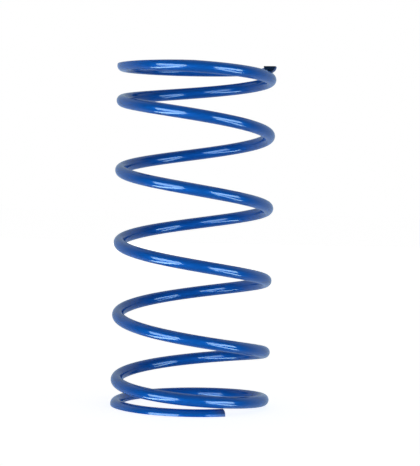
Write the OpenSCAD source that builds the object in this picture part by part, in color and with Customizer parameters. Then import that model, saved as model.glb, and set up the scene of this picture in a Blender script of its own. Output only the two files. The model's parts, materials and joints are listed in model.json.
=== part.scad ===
// Helical compression spring wound from round wire, with both ends closed and ground flat.
// Millimetres. The coil axis is Z, and the lower ground face lies on the plane z = 0.

/* [Wire] */
// Diameter of the round spring wire
wire_d = 4; // [2.5:0.1:6]

/* [Coil] */
// Outer diameter over the wound wire
coil_outer_d = 54.2; // [36:0.2:90]
// Length between the two ground faces with no load
free_length = 116.2; // [90:0.2:150]
// Turns of wire from tip to tip
total_turns = 6.86; // [5.5:0.02:8.4]
// Direction in which the wire climbs round the axis
hand = "left"; // [left, right]

/* [Ends] */
// Turns over which the pitch grows from a closed tip to the open coils
closing_turns = 2.15; // [1.2:0.05:2.6]
// Gap between a closed tip and the wire of the next turn
tip_gap = 0.1; // [0.05:0.05:1]
// Thickness of the wire left at the lower tip by the grinding
lower_tip_t = 2.3; // [0.8:0.1:2.4]
// Thickness of the wire left at the upper tip by the grinding
upper_tip_t = 1.9; // [0.8:0.1:2.4]
// Direction in which the lower tip lies, measured from +X
lower_tip_angle = 296; // [0:1:359]

/* [Hidden] */

// Sides of the wire's section, and sections along one turn
wire_sides = 16;
turn_sections = 48;
sections = ceil(total_turns * turn_sections);

wire_r = wire_d / 2;
mean_r = coil_outer_d / 2 - wire_r;
turn_sign = hand == "left" ? -1 : 1;

// Heights of the wire's centre at the two tips, with the ground faces at 0 and free_length
lower_tip_z = lower_tip_t - wire_r;
upper_tip_z = free_length - upper_tip_t + wire_r;
climb = upper_tip_z - lower_tip_z;

// Rise per turn in the open coils and at the tips. Two conditions set them: the first turn lifts
// the wire just clear of the tip, and all the turns together make the whole climb.
first_lift = wire_d + tip_gap;
first_share = opened_turns(1);
open_pitch = (climb * (1 - first_share) - first_lift * closing_turns)
           / ((total_turns - closing_turns) * (1 - first_share) - first_share * closing_turns);
tip_pitch = (first_lift - open_pitch * first_share) / (1 - first_share);

// Share of the full pitch that the wire has reached at the given turns from a tip: a smooth step
function opening(turns) =
    let (t = min(turns / closing_turns, 1))
    t * t * (3 - 2 * t);

// Turns of full pitch gained on the way there: the area under that step
function opened_turns(turns) =
    let (t = min(turns / closing_turns, 1))
    closing_turns * t * t * t * (1 - t / 2) + max(turns - closing_turns, 0);

// Rise per turn at the given turns from the lower tip
function pitch_at(turns) =
    tip_pitch + (open_pitch - tip_pitch) * (opening(turns) + opening(total_turns - turns) - 1);

// Height of the wire's centre at the given turns from the lower tip
function height_at(turns) =
    let (
        opened_below = opened_turns(turns),
        opened_above = opened_turns(total_turns) - opened_turns(total_turns - turns),
        gained = opened_below + opened_above - turns
    )
    lower_tip_z + tip_pitch * turns + (open_pitch - tip_pitch) * gained;

// Ring of points round the wire, square to the wire's own direction
function wire_ring(turns) =
    let (
        angle = lower_tip_angle + turn_sign * 360 * turns,
        slope = atan(pitch_at(turns) / (2 * PI * mean_r)),
        outward = [cos(angle), sin(angle), 0],
        sideways = turn_sign * [sin(angle), -cos(angle), 0],
        upward = sin(slope) * sideways + [0, 0, cos(slope)],
        centre = mean_r * outward + [0, 0, height_at(turns)]
    )
    [for (side = [0 : wire_sides - 1])
        let (a = turn_sign * 360 * side / wire_sides)
        centre + wire_r * (cos(a) * outward + sin(a) * upward)];

// Wire as it is wound, before its ends are ground
module wound_wire() {
    rings = [for (i = [0 : sections]) wire_ring(total_turns * i / sections)];
    skin = [for (i = [0 : sections - 1], side = [0 : wire_sides - 1])
        let (
            next = (side + 1) % wire_sides,
            low = i * wire_sides,
            high = low + wire_sides
        )
        each [
            [low + side, high + next, high + side],
            [low + side, low + next, high + next]
        ]];
    lower_tip = [for (side = [wire_sides - 1 : -1 : 0]) side];
    upper_tip = [for (side = [0 : wire_sides - 1]) sections * wire_sides + side];
    polyhedron(
        points = [for (ring = rings) each ring],
        faces = concat(skin, [lower_tip, upper_tip])
    );
}

// Room between the planes to which the two ends are ground
module ground_room() {
    width = coil_outer_d + 2 * wire_d;
    translate([-width / 2, -width / 2, 0])
        cube([width, width, free_length]);
}

module spring_coil() {
    color("royalblue")
        intersection() {
            wound_wire();
            ground_room();
        }
}

spring_coil();
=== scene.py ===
"""Looks of a helical compression spring: round wire, wound left hand and painted gloss blue.

The wire is wound again at a finer step than in the solid, by the same pitch law and with the same
ground ends, and is then painted. Metres. The coil axis is Z, and -Y points at the viewer.
"""

import json
import logging
import math
from dataclasses import dataclass
from enum import Enum
from typing import Union

import bpy
from mathutils import Matrix, Vector

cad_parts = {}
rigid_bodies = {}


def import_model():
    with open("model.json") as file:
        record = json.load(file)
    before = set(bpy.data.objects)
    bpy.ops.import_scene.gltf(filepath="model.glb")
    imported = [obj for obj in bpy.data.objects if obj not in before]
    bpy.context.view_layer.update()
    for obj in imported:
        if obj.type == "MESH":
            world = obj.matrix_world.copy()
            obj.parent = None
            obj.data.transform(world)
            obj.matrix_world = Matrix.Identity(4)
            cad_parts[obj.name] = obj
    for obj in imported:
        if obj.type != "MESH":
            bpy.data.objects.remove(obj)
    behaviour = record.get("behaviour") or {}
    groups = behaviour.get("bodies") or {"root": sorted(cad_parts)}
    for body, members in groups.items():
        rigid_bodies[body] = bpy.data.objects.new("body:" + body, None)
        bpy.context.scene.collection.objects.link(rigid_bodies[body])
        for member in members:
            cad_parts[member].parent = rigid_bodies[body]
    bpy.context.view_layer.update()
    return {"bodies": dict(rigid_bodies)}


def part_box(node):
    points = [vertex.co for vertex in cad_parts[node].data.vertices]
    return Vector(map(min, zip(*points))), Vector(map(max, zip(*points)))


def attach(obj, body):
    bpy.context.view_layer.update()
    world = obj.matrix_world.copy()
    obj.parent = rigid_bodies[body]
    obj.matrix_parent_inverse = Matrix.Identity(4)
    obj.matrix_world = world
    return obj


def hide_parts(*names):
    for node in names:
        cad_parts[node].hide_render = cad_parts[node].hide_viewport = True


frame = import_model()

COIL_NODE = "spring_coil"
BODY = next(iter(frame["bodies"]))
FULL_TURN = 2 * math.pi
MILLIMETRE = 0.001
LOG = logging.getLogger("variator_spring")

Colour = tuple[float, float, float]
Operand = Union["Field", float]


class Winding(Enum):
    """Way in which the wire turns about the axis as it climbs, seen from above."""

    LEFT = -1
    RIGHT = 1


class LampReach(Enum):
    """What a lamp adds to the surfaces that it meets."""

    SHADE = "diffuse light only"
    GLINT = "mirror light only"


class Field:
    """A value that a node tree works out at each point, written as plain arithmetic."""

    def __init__(self, tree: bpy.types.NodeTree, socket: bpy.types.NodeSocket) -> None:
        """Hold one output socket of a tree."""
        self.tree = tree
        self.socket = socket

    @staticmethod
    def work(tree: bpy.types.NodeTree, operation: str, *operands: Operand) -> "Field":
        """Add one math node.

        Args:
            tree: Tree that gets the node.
            operation: Blender's name of the operation.
            operands: Its fields or numbers, in order.

        Returns:
            The node's result.
        """
        node = tree.nodes.new("ShaderNodeMath")
        node.operation = operation
        for socket, operand in zip(node.inputs, operands):
            plug(tree, operand, socket)
        return Field(tree, node.outputs[0])

    def __add__(self, other: Operand) -> "Field":
        """Sum of two values."""
        return Field.work(self.tree, "ADD", self, other)

    def __sub__(self, other: Operand) -> "Field":
        """This value less another."""
        return Field.work(self.tree, "SUBTRACT", self, other)

    def __rsub__(self, other: float) -> "Field":
        """A number less this value."""
        return Field.work(self.tree, "SUBTRACT", other, self)

    def __mul__(self, other: Operand) -> "Field":
        """Product of two values."""
        return Field.work(self.tree, "MULTIPLY", self, other)

    def __truediv__(self, other: Operand) -> "Field":
        """This value over another."""
        return Field.work(self.tree, "DIVIDE", self, other)

    def __mod__(self, other: Operand) -> "Field":
        """What is left of this value past whole multiples of another."""
        return Field.work(self.tree, "FLOORED_MODULO", self, other)

    def __gt__(self, other: Operand) -> "Field":
        """1 where this value is the greater, and 0 elsewhere."""
        return Field.work(self.tree, "GREATER_THAN", self, other)

    def __lt__(self, other: Operand) -> "Field":
        """1 where this value is the lesser, and 0 elsewhere."""
        return Field.work(self.tree, "LESS_THAN", self, other)

    def at_most(self, other: Operand) -> "Field":
        """The lesser of two values."""
        return Field.work(self.tree, "MINIMUM", self, other)

    def at_least(self, other: Operand) -> "Field":
        """The greater of two values."""
        return Field.work(self.tree, "MAXIMUM", self, other)

    def of(self, operation: str) -> "Field":
        """Result of a math operation that takes this value alone."""
        return Field.work(self.tree, operation, self)

    def step(self, start: float, end: float) -> "Field":
        """Smooth step from 0 at start to 1 at end.

        Args:
            start: Value at which the step leaves 0.
            end: Value at which it reaches 1.

        Returns:
            The step's height.
        """
        share = ((self - start) / (end - start)).at_least(0).at_most(1)
        return share * share * (3 - share * 2)


def plug(tree: bpy.types.NodeTree, operand: Operand, socket: bpy.types.NodeSocket) -> None:
    """Link a field to an input socket, or set a number on it.

    Args:
        tree: Tree that holds the socket.
        operand: Field or number.
        socket: Input that takes it.
    """
    if isinstance(operand, Field):
        tree.links.new(operand.socket, socket)
    else:
        socket.default_value = operand


def split(tree: bpy.types.NodeTree, vector: bpy.types.NodeSocket) -> tuple[Field, Field, Field]:
    """Take a vector apart.

    Args:
        tree: Tree that holds the vector.
        vector: Output socket with the vector.

    Returns:
        Its X, Y and Z.
    """
    node = tree.nodes.new("ShaderNodeSeparateXYZ")
    tree.links.new(vector, node.inputs[0])
    return tuple(Field(tree, socket) for socket in node.outputs)


def bundle(tree: bpy.types.NodeTree, *parts: Operand) -> bpy.types.NodeSocket:
    """Make a vector of three values.

    Args:
        tree: Tree that gets the vector.
        parts: Its X, Y and Z.

    Returns:
        Output socket with the vector.
    """
    node = tree.nodes.new("ShaderNodeCombineXYZ")
    for socket, part in zip(node.inputs, parts):
        plug(tree, part, socket)
    return node.outputs[0]


@dataclass(frozen=True)
class GlossPaint:
    """Blue paint with a little metal flake under a clear gloss film, sprayed over the whole wire.

    Attributes:
        name: Material's name.
        thin_and_shaded: Linear colour on the inside of the coil, where it is painted shade, and
            where the paint wanders thinner.
        thick: Linear colour on the outside of the coil, and where the paint wanders thicker.
        flake: Share of metal flake in the paint.
        roughness: Lowest and highest roughness of the paint.
        film_roughness: Roughness of the clear film.
        film_refraction: Refractive index of the clear film.
        outer_film: Strength of the clear film's gloss on the outside of the coil.
        inner_film: The same on the inside, which the spray reaches less.
        inside_edge: Distance inwards from the wire's axis to the shaded inside colour, and
            outwards to the thick one.
        patch: Length over which the paint's thickness wanders.
        patch_share: Share of the paint's thickness that wanders.
        peel: Width of one ripple of the sprayed surface.
        peel_height: Height of a ripple.
        draw_width: Width of a drawing line left in the wire under the paint.
        draw_length: Length of such a line.
        draw_height: Depth of such a line.
        grind_width: Width of a grinding line on the flat ends.
        grind_length: Length of such a line.
        grind_height: Depth of such a line.
        worn_length: Length of wire at each tip over which handling has dulled the clear film.
        worn_share: Share of the film that is dulled at the very tip.
        rubbed_share: Share of the film that the seats have rubbed off the ground faces.
        steel_and_shade: Linear colour of the dull steel that shows where the paint is rubbed
            thin, which at the tips also stands in as painted shade where a tip closes on the next
            turn.
        tip_scuff_and_shade_length: Length of wire at each tip over which the colour turns towards
            that steel: rubbed-thin paint, and painted shade where the tip closes on the next
            turn.
        tip_scuff_and_shade_share: Share of the steel that shows at the very tip.
        seat_share: Share of it that shows along the grinding lines of the ground faces.
        cut: Linear colour of the sheared ends of the wire, on which the paint is thin and dull.
        cut_roughness: Roughness of those ends.
    """

    # Levels of the noise between which thin paint turns thick, and sound paint turns scuffed
    PATCH_RANGE = (0.3, 0.7)
    SCUFF_RANGE = (0.45, 0.65)
    # Finer layers of noise in a grain, and metres in one unit of the bump's height
    GRAIN_DETAIL = 1
    HEIGHT_UNIT = 1.0

    name: str = "blue_gloss_paint"
    thin_and_shaded: Colour = (0.0028, 0.088, 0.42)
    thick: Colour = (0.0040, 0.116, 0.53)
    flake: float = 0.1
    roughness: tuple[float, float] = (0.40, 0.50)
    film_roughness: float = 0.07
    film_refraction: float = 1.8
    outer_film: float = 0.5
    inner_film: float = 0.36
    inside_edge: float = 1.2 * MILLIMETRE
    patch: float = 9 * MILLIMETRE
    patch_share: float = 0.35
    peel: float = 1.8 * MILLIMETRE
    peel_height: float = 0.003 * MILLIMETRE
    draw_width: float = 0.3 * MILLIMETRE
    draw_length: float = 14 * MILLIMETRE
    draw_height: float = 0.001 * MILLIMETRE
    grind_width: float = 0.25 * MILLIMETRE
    grind_length: float = 12 * MILLIMETRE
    grind_height: float = 0.006 * MILLIMETRE
    worn_length: float = 12 * MILLIMETRE
    worn_share: float = 0.85
    rubbed_share: float = 0.85
    steel_and_shade: Colour = (0.07, 0.08, 0.15)
    tip_scuff_and_shade_length: float = 5 * MILLIMETRE
    tip_scuff_and_shade_share: float = 0.6
    seat_share: float = 0.45
    cut: Colour = (0.014, 0.036, 0.085)
    cut_roughness: float = 0.8

    def material(self) -> bpy.types.Material:
        """Build the paint.

        Returns:
            A material that reads the coil's own attributes and Object coordinates.
        """
        paint = bpy.data.materials.new(self.name)
        paint.use_nodes = True
        tree = paint.node_tree
        shader = tree.nodes["Principled BSDF"]
        shader.inputs["Metallic"].default_value = self.flake
        shader.inputs["Specular IOR Level"].default_value = 0
        shader.inputs["Coat Roughness"].default_value = self.film_roughness
        shader.inputs["Coat IOR"].default_value = self.film_refraction
        place = tree.nodes.new("ShaderNodeTexCoord").outputs["Object"]
        wire = self._attribute(tree, SpringCoil.WIRE_ATTRIBUTE).outputs["Vector"]
        ground = Field(tree, self._attribute(tree, SpringCoil.GROUND_ATTRIBUTE).outputs["Fac"])
        cut = Field(tree, self._attribute(tree, SpringCoil.CUT_ATTRIBUTE).outputs["Fac"])
        peel = self._grain(tree, place, (self.peel,) * 3)
        drawn = self._grain(tree, wire, (self.draw_width, self.draw_width, self.draw_length))
        honed = self._grain(tree, place, (self.grind_length, self.grind_width, self.grind_length))
        outward, _, from_tip = split(tree, wire)
        # The inside of the coil is painted darker as painted shade, blended with paint thickness
        # that wanders at random.
        outer_side = outward.step(-self.inside_edge, self.inside_edge)
        wander = self._grain(tree, place, (self.patch,) * 3).step(*self.PATCH_RANGE)
        shade_and_thickness = outer_side + (wander - outer_side) * self.patch_share
        paint_and_shade = self._blend(tree, shade_and_thickness, (*self.thin_and_shaded, 1), (*self.thick, 1))
        # Towards each tip the colour turns darker and greyer: scuffed paint, and painted shade
        # where the tip closes on the next turn.
        tip_scuff_and_shade = (1 - from_tip.step(0, self.tip_scuff_and_shade_length)) * self.tip_scuff_and_shade_share
        seated = honed.step(*self.SCUFF_RANGE) * ground * self.seat_share
        scuff_and_shade_colour = self._blend(tree, tip_scuff_and_shade.at_least(seated), paint_and_shade, (*self.steel_and_shade, 1))
        colour = self._blend(tree, cut, scuff_and_shade_colour, (*self.cut, 1))
        tree.links.new(colour, shader.inputs["Base Color"])
        low, high = self.roughness
        dull = drawn * (high - low) + low
        plug(tree, dull + cut * (self.cut_roughness - dull), shader.inputs["Roughness"])
        film = outer_side * (self.outer_film - self.inner_film) + self.inner_film
        worn = (1 - from_tip.step(0, self.worn_length)) * self.worn_share
        rubbed = worn.at_least(ground * self.rubbed_share).at_least(cut)
        plug(tree, film * (1 - rubbed), shader.inputs["Coat Weight"])
        relief = peel * self.peel_height + drawn * self.draw_height
        bump = tree.nodes.new("ShaderNodeBump")
        bump.inputs["Distance"].default_value = self.HEIGHT_UNIT
        plug(tree, relief + honed * ground * self.grind_height, bump.inputs["Height"])
        for layer in ("Normal", "Coat Normal"):
            tree.links.new(bump.outputs["Normal"], shader.inputs[layer])
        return paint

    @staticmethod
    def _blend(
        tree: bpy.types.NodeTree,
        share: Field,
        first: bpy.types.NodeSocket | tuple[float, ...],
        second: tuple[float, ...],
    ) -> bpy.types.NodeSocket:
        """Go from one colour to another.

        Args:
            tree: The paint's tree.
            share: 0 where the first colour shows, and 1 where the second does.
            first: Colour, or output socket with a colour.
            second: Colour.

        Returns:
            Output socket with the blended colour.
        """
        blend = tree.nodes.new("ShaderNodeMix")
        blend.data_type = "RGBA"
        plug(tree, share, blend.inputs["Factor"])
        inputs = [socket for socket in blend.inputs if socket.type == "RGBA"]
        if isinstance(first, bpy.types.NodeSocket):
            tree.links.new(first, inputs[0])
        else:
            inputs[0].default_value = first
        inputs[1].default_value = second
        return next(socket for socket in blend.outputs if socket.type == "RGBA")

    @staticmethod
    def _attribute(tree: bpy.types.NodeTree, name: str) -> bpy.types.Node:
        """Read one of the coil's attributes.

        Args:
            tree: The paint's tree.
            name: Attribute's name.

        Returns:
            The node that reads it.
        """
        node = tree.nodes.new("ShaderNodeAttribute")
        node.attribute_name = name
        return node

    def _grain(
        self,
        tree: bpy.types.NodeTree,
        place: bpy.types.NodeSocket,
        sizes: tuple[float, float, float],
    ) -> Field:
        """Noise with grains of a given size.

        Args:
            tree: The paint's tree.
            place: Coordinates in metres.
            sizes: A grain's length along each of them.

        Returns:
            Noise from 0 to 1.
        """
        mapping = tree.nodes.new("ShaderNodeMapping")
        mapping.inputs["Scale"].default_value = [1 / size for size in sizes]
        tree.links.new(place, mapping.inputs["Vector"])
        noise = tree.nodes.new("ShaderNodeTexNoise")
        noise.inputs["Scale"].default_value = 1
        noise.inputs["Detail"].default_value = self.GRAIN_DETAIL
        tree.links.new(mapping.outputs["Vector"], noise.inputs["Vector"])
        return Field(tree, noise.outputs["Fac"])


@dataclass
class SpringCoil:
    """The wound wire, with both ends closed against the next turn and ground flat.

    Attributes:
        outer_diameter: Diameter over the wound wire.
        free_length: Length between the two ground faces.
        paint: Finish of the whole wire.
        wire_diameter: Diameter of the round wire.
        total_turns: Turns of wire from tip to tip.
        winding: Way in which the wire climbs.
        closing_turns: Turns over which the pitch grows from a closed tip to the open coils.
        tip_gap: Gap between a closed tip and the next turn.
        lower_tip_thickness: Wire left at the lower tip by the grinding.
        upper_tip_thickness: Wire left at the upper tip by the grinding.
        lower_tip_angle: Direction of the lower tip from +X, in degrees.
        turn_sections: Sections along one turn.
        wire_sides: Sides of one section.
        flat_sides: Sides of a section on each half of a ground flat.
    """

    WIRE_ATTRIBUTE = "straight_wire"
    GROUND_ATTRIBUTE = "ground_face"
    CUT_ATTRIBUTE = "cut_face"
    # Corners of a face on the side of the wire, of which a cut end has more
    QUAD = 4
    # Angle from which an edge stays sharp, and how near to a ground plane a face lies in it
    SHARP_EDGE = math.radians(32)
    PLANE_SLACK = 0.001 * MILLIMETRE

    outer_diameter: float
    free_length: float
    paint: GlossPaint
    wire_diameter: float = 4 * MILLIMETRE
    total_turns: float = 6.86
    winding: Winding = Winding.LEFT
    closing_turns: float = 2.15
    tip_gap: float = 0.1 * MILLIMETRE
    lower_tip_thickness: float = 2.3 * MILLIMETRE
    upper_tip_thickness: float = 1.9 * MILLIMETRE
    lower_tip_angle: float = 296
    turn_sections: int = 96
    wire_sides: int = 32
    flat_sides: int = 3

    def build(self) -> bpy.types.Object:
        """Wind, grind and paint the wire.

        Returns:
            The finished coil, as a plain mesh at the origin.
        """
        coil = bpy.data.objects.new("painted_coil", bpy.data.meshes.new("painted_coil"))
        bpy.context.scene.collection.objects.link(coil)
        tree = bpy.data.node_groups.new("wound_wire", "GeometryNodeTree")
        settings = self._settings()
        names = self._declare(tree, settings)
        self._wind(tree)
        modifier = coil.modifiers.new("winding", "NODES")
        modifier.node_group = tree
        for name, value in settings.items():
            modifier[names[name]] = value
        graph = bpy.context.evaluated_depsgraph_get()
        mesh = bpy.data.meshes.new_from_object(
            coil.evaluated_get(graph), preserve_all_data_layers=True, depsgraph=graph
        )
        coil.modifiers.remove(modifier)
        coil.data = mesh
        return coil

    def dress(self, coil: bpy.types.Object) -> None:
        """Seat the coil on its body, in the place of its solid.

        Args:
            coil: The finished coil.
        """
        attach(coil, BODY)
        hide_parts(COIL_NODE)

    def _settings(self) -> dict[str, float | int | bpy.types.Material]:
        """Values of the winding tree's inputs, by name.

        Returns:
            Sizes in metres, turns, counts and the paint.
        """
        lower_tip = self.lower_tip_thickness - self.wire_diameter / 2
        upper_tip = self.free_length - self.upper_tip_thickness + self.wire_diameter / 2
        first_lift = self.wire_diameter + self.tip_gap
        opened = self._opened_share()
        kept = 1 - opened
        open_pitch = ((upper_tip - lower_tip) * kept - first_lift * self.closing_turns) / (
            (self.total_turns - self.closing_turns) * kept - opened * self.closing_turns
        )
        return {
            "Wire Diameter": self.wire_diameter,
            "Outer Diameter": self.outer_diameter,
            "Free Length": self.free_length,
            "Total Turns": self.total_turns,
            "Closing Turns": self.closing_turns,
            "Open Pitch": open_pitch,
            "Tip Pitch": (first_lift - open_pitch * opened) / kept,
            "Lower Tip Height": lower_tip,
            "Lower Tip Angle": math.radians(self.lower_tip_angle),
            "Winding": float(self.winding.value),
            "Sections": math.ceil(self.total_turns * self.turn_sections) + 1,
            "Sides": self.wire_sides,
            "Flat Sides": self.flat_sides,
            "Paint": self.paint.material(),
        }

    def _opened_share(self) -> float:
        """Share of one full pitch that the wire gains in its first turn from a tip."""
        share = 1 / self.closing_turns
        return self.closing_turns * share**3 * (1 - share / 2)

    @staticmethod
    def _declare(
        tree: bpy.types.NodeTree, settings: dict[str, float | int | bpy.types.Material]
    ) -> dict[str, str]:
        """Give the winding tree its inputs and its output.

        Args:
            tree: The empty tree.
            settings: Values by name, whose types the inputs take.

        Returns:
            Each input's identifier, by name.
        """
        kinds = {
            float: "NodeSocketFloat",
            int: "NodeSocketInt",
            bpy.types.Material: "NodeSocketMaterial",
        }
        sockets = tree.interface
        sockets.new_socket("Coil", in_out="OUTPUT", socket_type="NodeSocketGeometry")
        names = {}
        for name, value in settings.items():
            socket = sockets.new_socket(name, in_out="INPUT", socket_type=kinds[type(value)])
            names[name] = socket.identifier
        return names

    def _wind(self, tree: bpy.types.NodeTree) -> None:
        """Fill the winding tree: a straight tube, wound, ground and painted.

        Args:
            tree: Tree with its inputs and its output.
        """
        nodes, links = tree.nodes, tree.links
        entry = nodes.new("NodeGroupInput").outputs
        size = {socket.name: Field(tree, socket) for socket in entry}
        line = nodes.new("GeometryNodeCurvePrimitiveLine")
        stepped = nodes.new("GeometryNodeResampleCurve")
        links.new(line.outputs["Curve"], stepped.inputs["Curve"])
        links.new(entry["Sections"], stepped.inputs["Count"])
        circle = nodes.new("GeometryNodeCurvePrimitiveCircle")
        links.new(entry["Sides"], circle.inputs["Resolution"])
        tube = nodes.new("GeometryNodeCurveToMesh")
        tube.inputs["Fill Caps"].default_value = True
        links.new(stepped.outputs["Curve"], tube.inputs["Curve"])
        links.new(circle.outputs["Curve"], tube.inputs["Profile Curve"])
        wound, straight = self._places(tree, size)
        marked = self._mark(
            tree, tube.outputs["Mesh"], self.WIRE_ATTRIBUTE, "FLOAT_VECTOR", "POINT", straight
        )
        moved = nodes.new("GeometryNodeSetPosition")
        links.new(marked, moved.inputs["Geometry"])
        links.new(wound, moved.inputs["Position"])
        height = split(tree, nodes.new("GeometryNodeInputPosition").outputs[0])[2]
        top = size["Free Length"] - self.PLANE_SLACK
        ground = (height < self.PLANE_SLACK) + (height > top)
        marked = self._mark(
            tree, moved.outputs["Geometry"], self.GROUND_ATTRIBUTE, "FLOAT", "FACE", ground.socket
        )
        face = nodes.new("GeometryNodeInputMeshFaceNeighbors")
        cut_end = Field(tree, face.outputs["Vertex Count"]) > self.QUAD
        marked = self._mark(tree, marked, self.CUT_ATTRIBUTE, "FLOAT", "FACE", cut_end.socket)
        smooth = nodes.new("GeometryNodeSetShadeSmooth")
        smooth.domain = "EDGE"
        angle = Field(tree, nodes.new("GeometryNodeInputMeshEdgeAngle").outputs["Unsigned Angle"])
        links.new(marked, smooth.inputs["Geometry"])
        plug(tree, angle < self.SHARP_EDGE, smooth.inputs["Shade Smooth"])
        real = nodes.new("GeometryNodeRealizeInstances")
        links.new(smooth.outputs["Geometry"], real.inputs["Geometry"])
        painted = nodes.new("GeometryNodeSetMaterial")
        links.new(real.outputs["Geometry"], painted.inputs["Geometry"])
        links.new(entry["Paint"], painted.inputs["Material"])
        links.new(painted.outputs["Geometry"], nodes.new("NodeGroupOutput").inputs[0])

    @staticmethod
    def _mark(
        tree: bpy.types.NodeTree,
        mesh: bpy.types.NodeSocket,
        name: str,
        kind: str,
        domain: str,
        value: bpy.types.NodeSocket,
    ) -> bpy.types.NodeSocket:
        """Store a value on the mesh.

        Args:
            tree: The winding tree.
            mesh: Output socket with the mesh.
            name: Attribute's name.
            kind: Its data type.
            domain: What carries it.
            value: Output socket with the value.

        Returns:
            Output socket with the marked mesh.
        """
        store = tree.nodes.new("GeometryNodeStoreNamedAttribute")
        store.data_type = kind
        store.domain = domain
        store.inputs["Name"].default_value = name
        tree.links.new(mesh, store.inputs["Geometry"])
        tree.links.new(value, store.inputs["Value"])
        return store.outputs["Geometry"]

    def _places(
        self, tree: bpy.types.NodeTree, size: dict[str, Field]
    ) -> tuple[bpy.types.NodeSocket, bpy.types.NodeSocket]:
        """Work out where each point of the tube goes.

        Args:
            tree: The winding tree.
            size: Its inputs, by name.

        Returns:
            Output sockets with the point's place on the coil, and with its place on the straight
            wire: outwards, upwards and along from the nearer tip.
        """
        index = Field(tree, tree.nodes.new("GeometryNodeInputIndex").outputs[0])
        ring = (index / size["Sides"]).of("FLOOR")
        side = index - ring * size["Sides"]
        turns = ring / (size["Sections"] - 1) * size["Total Turns"]
        wire_radius = size["Wire Diameter"] / 2
        mean_radius = size["Outer Diameter"] / 2 - wire_radius
        height, pitch = self._climb(size, turns)
        slope = (pitch / (mean_radius * FULL_TURN)).of("ARCTANGENT")
        around = self._around(size, turns, side, height / (wire_radius * slope.of("COSINE")))
        outward = wire_radius * around.of("SINE")
        upward = wire_radius * around.of("COSINE") * -1
        angle = size["Lower Tip Angle"] + size["Winding"] * turns * FULL_TURN
        sine, cosine = angle.of("SINE"), angle.of("COSINE")
        lean = size["Winding"] * upward * slope.of("SINE")
        radius = mean_radius + outward
        wound = bundle(
            tree,
            radius * cosine + lean * sine,
            radius * sine - lean * cosine,
            (height + upward * slope.of("COSINE")).at_least(0).at_most(size["Free Length"]),
        )
        from_tip = turns.at_most(size["Total Turns"] - turns) * mean_radius * FULL_TURN
        return wound, bundle(tree, outward, upward, from_tip)

    @staticmethod
    def _climb(size: dict[str, Field], turns: Field) -> tuple[Field, Field]:
        """Work out how the wire climbs.

        Args:
            size: The winding tree's inputs, by name.
            turns: Turns from the lower tip.

        Returns:
            Height of the wire's centre, and its rise per turn.
        """
        closing, total = size["Closing Turns"], size["Total Turns"]
        spare = size["Open Pitch"] - size["Tip Pitch"]

        def opening(run: Field) -> Field:
            """Share of the full pitch at a run of turns from a tip."""
            share = (run / closing).at_most(1)
            return share * share * (3 - share * 2)

        def opened(run: Field) -> Field:
            """Turns of full pitch gained in a run of turns from a tip."""
            share = (run / closing).at_most(1)
            return closing * share * share * share * (1 - share / 2) + (run - closing).at_least(0)

        left = total - turns
        gained = opened(turns) + opened(total) - opened(left) - turns
        height = size["Lower Tip Height"] + size["Tip Pitch"] * turns + spare * gained
        return height, size["Tip Pitch"] + spare * (opening(turns) + opening(left) - 1)

    @staticmethod
    def _around(size: dict[str, Field], turns: Field, side: Field, lift: Field) -> Field:
        """Spread a section's points round the wire, two of them on the corners of a ground flat.

        Args:
            size: The winding tree's inputs, by name.
            turns: Turns from the lower tip.
            side: Number of the point in its section.
            lift: Height of the wire's centre in radii of the wire.

        Returns:
            The point's angle round the wire, from straight down towards the outside of the coil.
        """
        half_sides = size["Sides"] / 2
        upper = turns > size["Total Turns"] / 2
        room = lift + upper * (size["Free Length"] / (size["Wire Diameter"] / 2) - lift * 2)
        corner = room.at_least(-1).at_most(1).of("ARCCOSINE")
        flat = corner.at_least(size["Flat Sides"] / size["Sides"] * FULL_TURN)
        offset = (side - upper * half_sides + half_sides) % size["Sides"] - half_sides
        away = offset.of("ABSOLUTE")
        within = (away / size["Flat Sides"]).at_most(1) * flat
        beyond = (away - size["Flat Sides"]).at_least(0) / (half_sides - size["Flat Sides"])
        return offset.of("SIGN") * (within + beyond * (math.pi - flat)) + upper * math.pi


@dataclass(frozen=True)
class SoftLamp:
    """A flat soft box that faces the spring from far off.

    Attributes:
        name: Lamp's name.
        start: Azimuth to the viewer's right and elevation of one end from the spring, in degrees.
        end: The same for its other end.
        width: Angle across the box, in degrees.
        colour: Linear colour of its light.
        strength: Brightness of its face, where 1 is white.
        reach: What it adds to a surface.
    """

    # How far the box hangs from the point that it faces
    DISTANCE = 1.5

    name: str
    start: tuple[float, float]
    end: tuple[float, float]
    width: float
    colour: Colour
    strength: float
    reach: LampReach

    def place(self, centre: Vector) -> bpy.types.Object:
        """Hang the lamp.

        Args:
            centre: Point that it faces.

        Returns:
            The lamp's object.
        """
        first, last = self._towards(*self.start), self._towards(*self.end)
        facing = (first + last).normalized()
        along = (last - first).normalized()
        lamp = bpy.data.lights.new(self.name, "AREA")
        lamp.shape = "RECTANGLE"
        lamp.size = 2 * self.DISTANCE * math.tan(first.angle(last) / 2)
        lamp.size_y = 2 * self.DISTANCE * math.tan(math.radians(self.width) / 2)
        lamp.normalize = False
        lamp.color = self.colour
        lamp.energy = math.pi * self.strength
        holder = bpy.data.objects.new(self.name, lamp)
        axes = Matrix((along, facing.cross(along), facing)).transposed().to_4x4()
        holder.matrix_world = Matrix.Translation(centre + facing * self.DISTANCE) @ axes
        holder.visible_camera = False
        holder.visible_diffuse = self.reach is LampReach.SHADE
        holder.visible_glossy = self.reach is LampReach.GLINT
        bpy.context.scene.collection.objects.link(holder)
        return holder

    @staticmethod
    def _towards(azimuth: float, elevation: float) -> Vector:
        """Find a direction from the spring.

        Args:
            azimuth: Turn to the viewer's right, in degrees.
            elevation: Rise from level, in degrees.

        Returns:
            A vector of length 1.
        """
        turn, rise = math.radians(azimuth), math.radians(elevation)
        reach = math.cos(rise)
        return Vector((math.sin(turn) * reach, -math.cos(turn) * reach, math.sin(rise)))


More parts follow.
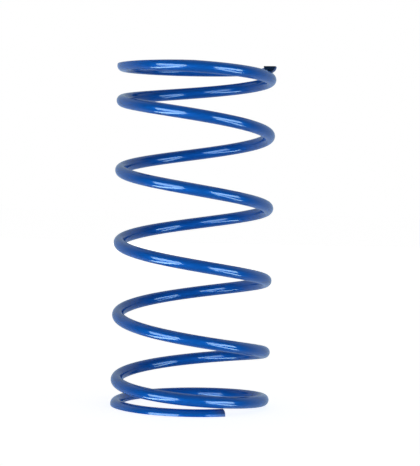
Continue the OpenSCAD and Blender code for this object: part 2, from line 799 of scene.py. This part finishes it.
@dataclass(frozen=True)
class Studio:
    """White room with a pale floor and soft boxes.

    Attributes:
        floor_size: Side of the floor.
        floor_drop: Gap that keeps the floor from sharing a plane with the ground face above it.
        floor_colour: Colour of the floor.
        floor_glow: Light that the floor adds for the viewer, so that it shows white.
        white_edge: How far back, in Y, the floor begins and ends to turn from pale to white.
        front_pale: Level at which the viewer sees the room and the floor well in front, a painted
            fall-off of light towards the viewer.
        ambient: Level of the light from all round on matt surfaces.
        sky: Level of the light that is added to it from straight above.
        front_dark: Level that mirrors show of the room in front.
        back_bright: Level that they show of the room behind.
        back_edge: How far back, in a direction's Y, the room begins and ends to brighten.
        pole_bright: Level that they show straight above and below, on top of the rest.
        mirror_tint: Linear colour of the room in mirrors.
        lamps: The soft boxes.
    """

    lamps: tuple[SoftLamp, ...]
    floor_size: float = 8.0
    floor_drop: float = 0.05 * MILLIMETRE
    floor_colour: Colour = (0.8, 0.8, 0.8)
    floor_glow: float = 0.81
    white_edge: tuple[float, float] = (-0.45, -0.13)
    front_pale: float = 0.78
    ambient: float = 0.08
    sky: float = 0.23
    front_dark: float = 0.03
    back_bright: float = 1.0
    back_edge: tuple[float, float] = (-0.3, 0.6)
    pole_bright: float = 0.22
    mirror_tint: Colour = (0.74, 0.92, 1.0)

    def build(self, centre: Vector) -> None:
        """Set up the whole room.

        Args:
            centre: Point that the lamps face.
        """
        self._floor()
        self._world()
        for lamp in self.lamps:
            lamp.place(centre)
            LOG.info("lamp %s", lamp.name)

    def _floor(self) -> None:
        """Lay the floor, which takes the spring's shadow and lets light from below it through."""
        half = self.floor_size / 2
        low = -self.floor_drop
        mesh = bpy.data.meshes.new("floor")
        corners = [(-half, -half, low), (half, -half, low), (half, half, low), (-half, half, low)]
        mesh.from_pydata(corners, [], [(0, 1, 2, 3)])
        floor = bpy.data.objects.new("floor", mesh)
        bpy.context.scene.collection.objects.link(floor)
        mesh.materials.append(self._floor_finish())
        floor.visible_shadow = False
        floor.visible_diffuse = False
        floor.visible_glossy = False

    def _floor_finish(self) -> bpy.types.Material:
        """Make the floor's finish.

        Returns:
            A pale matt material that shows white round the spring, where no shadow falls, and is
            painted as lit less, to pale, well in front of it.
        """
        finish = bpy.data.materials.new("pale_floor")
        finish.use_nodes = True
        tree = finish.node_tree
        shader = tree.nodes["Principled BSDF"]
        shader.inputs["Roughness"].default_value = 1
        shader.inputs["Specular IOR Level"].default_value = 0
        shader.inputs["Emission Color"].default_value = (1, 1, 1, 1)
        _, back, _ = split(tree, tree.nodes.new("ShaderNodeTexCoord").outputs["Object"])
        # Well in front of the spring the floor turns pale and unshaded: a painted fall-off of
        # light.
        white = back.step(*self.white_edge)
        colour = bundle(tree, *(white * part for part in self.floor_colour))
        tree.links.new(colour, shader.inputs["Base Color"])
        seen = Field(tree, tree.nodes.new("ShaderNodeLightPath").outputs["Is Camera Ray"])
        glow = white * (self.floor_glow - self.front_pale) + self.front_pale
        plug(tree, seen * glow, shader.inputs["Emission Strength"])
        return finish

    def _world(self) -> None:
        """Light the room, which is white behind the spring and dimmer in front of it."""
        world = bpy.data.worlds.new("white_room")
        bpy.context.scene.world = world
        world.use_nodes = True
        tree = world.node_tree
        path = tree.nodes.new("ShaderNodeLightPath").outputs
        rays = ("Is Camera Ray", "Is Glossy Ray", "Is Transmission Ray")
        seen, mirrored, passed = (Field(tree, path[ray]) for ray in rays)
        _, back, up = split(tree, tree.nodes.new("ShaderNodeTexCoord").outputs["Generated"])
        rise = up * up
        behind = back.step(*self.back_edge)
        lit = behind * (self.back_bright - self.front_dark)
        room = lit + rise * rise * self.pole_bright + self.front_dark
        # For the viewer, the room in front is painted dimmer: a painted fall-off of light.
        shown = behind * (1 - self.front_pale) + self.front_pale
        matt = 1 - seen.at_least(mirrored).at_least(passed)
        glow = up.at_least(0) * self.sky + self.ambient
        level = (seen * shown).at_least(passed) + mirrored * room + matt * glow
        tint = bundle(tree, *(1 - mirrored * (1 - part) for part in self.mirror_tint))
        background = tree.nodes["Background"]
        tree.links.new(tint, background.inputs["Color"])
        plug(tree, level, background.inputs["Strength"])


@dataclass(frozen=True)
class PhotoCamera:
    """Camera that stands where the photograph was taken.

    Attributes:
        place: Where it stands.
        lens: Focal length in millimetres.
        film: Long side of its film in millimetres.
        turn: Turn to the viewer's right, in degrees.
        drop: Turn down from level, in degrees.
        roll: Turn about its own line of sight, in degrees.
    """

    # Turn from looking straight down to level, in degrees, and the nearest thing that it sees
    LEVEL = 90
    NEAREST = 0.01

    place: tuple[float, float, float] = (0, -0.55321, 0.07542)
    lens: float = 125.25
    film: float = 36
    turn: float = 0.592
    drop: float = 1.666
    roll: float = 1.336

    def build(self) -> None:
        """Put the camera up and make it the scene's own."""
        camera = bpy.data.cameras.new("photo_camera")
        camera.lens = self.lens
        camera.sensor_width = self.film
        camera.clip_start = self.NEAREST
        holder = bpy.data.objects.new("photo_camera", camera)
        holder.matrix_world = (
            Matrix.Translation(self.place)
            @ Matrix.Rotation(-math.radians(self.turn), 4, "Z")
            @ Matrix.Rotation(math.radians(self.LEVEL - self.drop), 4, "X")
            @ Matrix.Rotation(math.radians(self.roll), 4, "Z")
        )
        bpy.context.scene.collection.objects.link(holder)
        bpy.context.scene.camera = holder


WHITE = (1.0, 1.0, 1.0)
COOL_WHITE = (0.65, 0.97, 1.0)
LAMPS = (
    SoftLamp("left_key", (-50, -18), (0, -18), 40, WHITE, 3.35, LampReach.SHADE),
    SoftLamp("right_key", (32, -4), (72, -4), 40, WHITE, 1.5, LampReach.SHADE),
    SoftLamp("back_key", (145, -14), (215, -14), 50, WHITE, 2.4, LampReach.SHADE),
    SoftLamp("left_box", (-60, -1), (-15, -1), 32, COOL_WHITE, 8.8, LampReach.GLINT),
    SoftLamp("left_strip", (-100, -50), (-26, -24), 13, COOL_WHITE, 12.8, LampReach.GLINT),
    SoftLamp("right_box", (24, 1), (68, 1), 25, COOL_WHITE, 9.6, LampReach.GLINT),
    SoftLamp("right_strip", (28, -18), (80, -44), 13, COOL_WHITE, 9.4, LampReach.GLINT),
)


def main() -> None:
    """Build the spring, the room round it and the camera."""
    logging.basicConfig(level=logging.INFO, format="%(name)s: %(message)s")
    bpy.context.scene.view_settings.view_transform = "Standard"
    low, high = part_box(COIL_NODE)
    size = high - low
    spring = SpringCoil(outer_diameter=size.x, free_length=size.z, paint=GlossPaint())
    coil = spring.build()
    spring.dress(coil)
    LOG.info("piece %s: %d faces", coil.name, len(coil.data.polygons))
    Studio(LAMPS).build((low + high) / 2)
    PhotoCamera().build()


if __name__ == "__main__":
    main()
